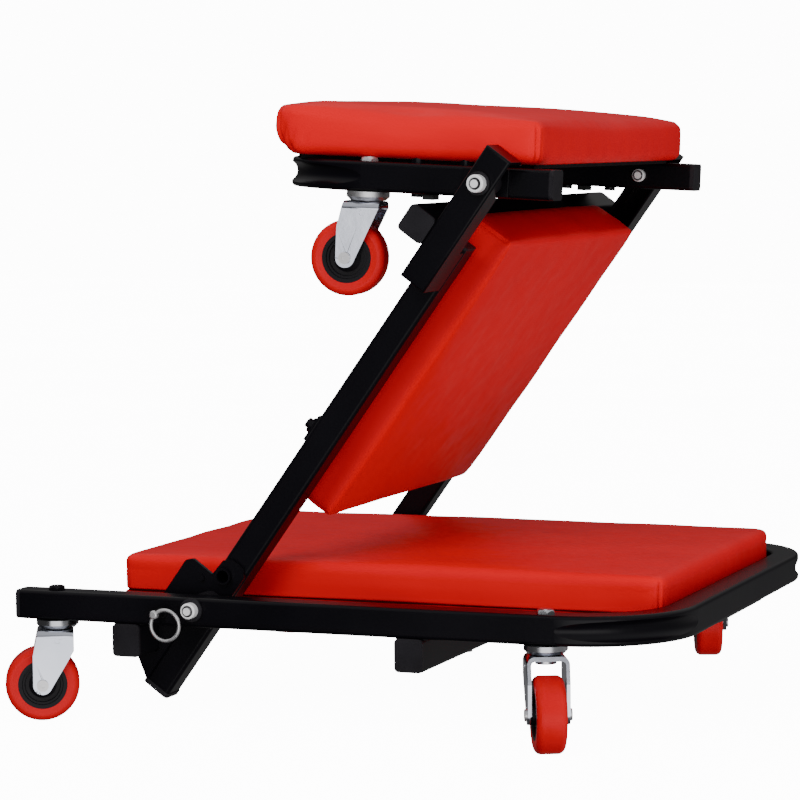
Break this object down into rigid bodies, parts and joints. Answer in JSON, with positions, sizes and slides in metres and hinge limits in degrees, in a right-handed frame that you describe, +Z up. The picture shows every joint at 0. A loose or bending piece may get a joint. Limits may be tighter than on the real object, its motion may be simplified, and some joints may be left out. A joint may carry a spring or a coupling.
{
  "type": "folding workshop creeper",
  "caption": "Folding creeper on swivel casters: cushioned base, hinged back section and hinged seat that stand in a Z shape as a stool or lay flat as a low rolling bed.",
  "frame": {"origin": "on the floor, at the bottom centre of the bounding box in the seat position", "axes": "+X along the base towards its bent end, +Y across it to the far side, +Z up"},
  "size_m": [0.4748, 0.4582, 0.4212],
  "materials": {
    "frame_black": "semi-gloss powder coat",
    "plug_plastic": "matte",
    "vinyl_red": "satin vinyl over foam",
    "board": "plain board",
    "zinc": "zinc plated",
    "chrome": "bright plated",
    "tyre_red": "satin polyurethane",
    "hub_black": "moulded",
    "rubber_black": "matte"
  },
  "bodies": {
    "base": {"base_board": "board", "base_caster_stems": "zinc", "base_cross_tube_left": "frame_black", "base_cross_tube_mid": "frame_black", "base_end_tab": "frame_black", "base_frame": "frame_black", "base_pad": "vinyl_red", "base_pad_screws": "zinc", "base_plugs": "plug_plastic", "lower_hinge_bolts": "zinc", "lower_hinge_spacers": "plug_plastic"},
    "back": {"arm_end_caps": "plug_plastic", "arm_far": "frame_black", "arm_near": "frame_black", "channel_far": "frame_black", "channel_near": "frame_black", "lock_plates": "frame_black", "mid_board": "board", "mid_brace": "frame_black", "mid_fixings": "zinc", "mid_pad": "vinyl_red", "upper_cross_plugs": "plug_plastic", "upper_cross_tube": "frame_black", "upper_hinge_bolts": "zinc", "upper_hinge_spacers": "plug_plastic"},
    "seat": {"seat_board": "board", "seat_bumpers": "rubber_black", "seat_caster_stems": "zinc", "seat_frame": "frame_black", "seat_hinge_plates": "frame_black", "seat_pad": "vinyl_red", "seat_pad_screws": "zinc", "seat_plugs": "plug_plastic"},
    "lock_pin": {"lock_pin": "zinc"},
    "pull_ring": {"pull_ring": "zinc"},
    "caster_1_swivel": {"caster_1_fork": "chrome", "caster_1_axle": "zinc"},
    "caster_1_wheel": {"caster_1_tyre": "tyre_red", "caster_1_hub": "hub_black"},
    "caster_2_swivel": {"caster_2_fork": "chrome", "caster_2_axle": "zinc"},
    "caster_2_wheel": {"caster_2_tyre": "tyre_red", "caster_2_hub": "hub_black"},
    "caster_3_swivel": {"caster_3_fork": "chrome", "caster_3_axle": "zinc"},
    "caster_3_wheel": {"caster_3_tyre": "tyre_red", "caster_3_hub": "hub_black"},
    "caster_4_swivel": {"caster_4_fork": "chrome", "caster_4_axle": "zinc"},
    "caster_4_wheel": {"caster_4_tyre": "tyre_red", "caster_4_hub": "hub_black"},
    "caster_5_swivel": {"caster_5_fork": "chrome", "caster_5_axle": "zinc"},
    "caster_5_wheel": {"caster_5_tyre": "tyre_red", "caster_5_hub": "hub_black"},
    "caster_6_swivel": {"caster_6_fork": "chrome", "caster_6_axle": "zinc"},
    "caster_6_wheel": {"caster_6_tyre": "tyre_red", "caster_6_hub": "hub_black"}
  },
  "joints": [
    {"name": "lower_fold", "type": "hinge", "parent": "base", "child": "back", "pos_m": [-0.09509, -0.00042, 0.082], "axis": [0, -1, 0], "range_deg": [0, 125.4]},
    {"name": "upper_fold", "type": "hinge", "parent": "back", "child": "seat", "pos_m": [0.1114, -0.00042, 0.36831], "axis": [0, 1, 0], "range_deg": [0, 122.5]},
    {"name": "lock_pin_slide", "type": "slide", "parent": "base", "child": "lock_pin", "axis": [0, 1, 0], "range_m": [0, 0.005]},
    {"name": "pull_ring_swing", "type": "hinge", "parent": "lock_pin", "child": "pull_ring", "pos_m": [-0.11739, -0.21472, 0.0795], "axis": [0.682, 0, 0.7314], "range_deg": [-60, 0]},
    {"name": "caster_1_swivel", "type": "hinge", "parent": "base", "child": "caster_1_swivel", "pos_m": [-0.20209, -0.19342, 0.07], "axis": [0, 0, 1], "continuous": true},
    {"name": "caster_1_roll", "type": "hinge", "parent": "caster_1_swivel", "child": "caster_1_wheel", "pos_m": [-0.2118, -0.19858, 0.0255], "axis": [0.4695, -0.8829, 0], "continuous": true},
    {"name": "caster_2_swivel", "type": "hinge", "parent": "base", "child": "caster_2_swivel", "pos_m": [0.15341, -0.19342, 0.07], "axis": [0, 0, 1], "continuous": true},
    {"name": "caster_2_roll", "type": "hinge", "parent": "caster_2_swivel", "child": "caster_2_wheel", "pos_m": [0.15823, -0.20331, 0.0255], "axis": [0.8988, 0.4384, 0], "continuous": true},
    {"name": "caster_3_swivel", "type": "hinge", "parent": "base", "child": "caster_3_swivel", "pos_m": [-0.20209, 0.19258, 0.07], "axis": [0, 0, 1], "continuous": true},
    {"name": "caster_3_roll", "type": "hinge", "parent": "caster_3_swivel", "child": "caster_3_wheel", "pos_m": [-0.20209, 0.20358, 0.0255], "axis": [-1, 0, 0], "continuous": true},
    {"name": "caster_4_swivel", "type": "hinge", "parent": "base", "child": "caster_4_swivel", "pos_m": [0.15341, 0.19258, 0.07], "axis": [0, 0, 1], "continuous": true},
    {"name": "caster_4_roll", "type": "hinge", "parent": "caster_4_swivel", "child": "caster_4_wheel", "pos_m": [0.14965, 0.20292, 0.0255], "axis": [-0.9397, -0.342, 0], "continuous": true},
    {"name": "caster_5_swivel", "type": "hinge", "parent": "seat", "child": "caster_5_swivel", "pos_m": [0.02051, -0.16342, 0.3629], "axis": [0.0506, 0, 0.9987], "continuous": true},
    {"name": "caster_5_roll", "type": "hinge", "parent": "caster_5_swivel", "child": "caster_5_wheel", "pos_m": [0.00735, -0.16476, 0.31901], "axis": [0.1217, -0.9925, -0.0062], "continuous": true},
    {"name": "caster_6_swivel", "type": "hinge", "parent": "seat", "child": "caster_6_swivel", "pos_m": [0.02051, 0.16258, 0.3629], "axis": [0.0506, 0, 0.9987], "continuous": true},
    {"name": "caster_6_roll", "type": "hinge", "parent": "caster_6_swivel", "child": "caster_6_wheel", "pos_m": [0.00727, 0.16258, 0.31901], "axis": [0, -1, 0], "continuous": true}
  ]
}
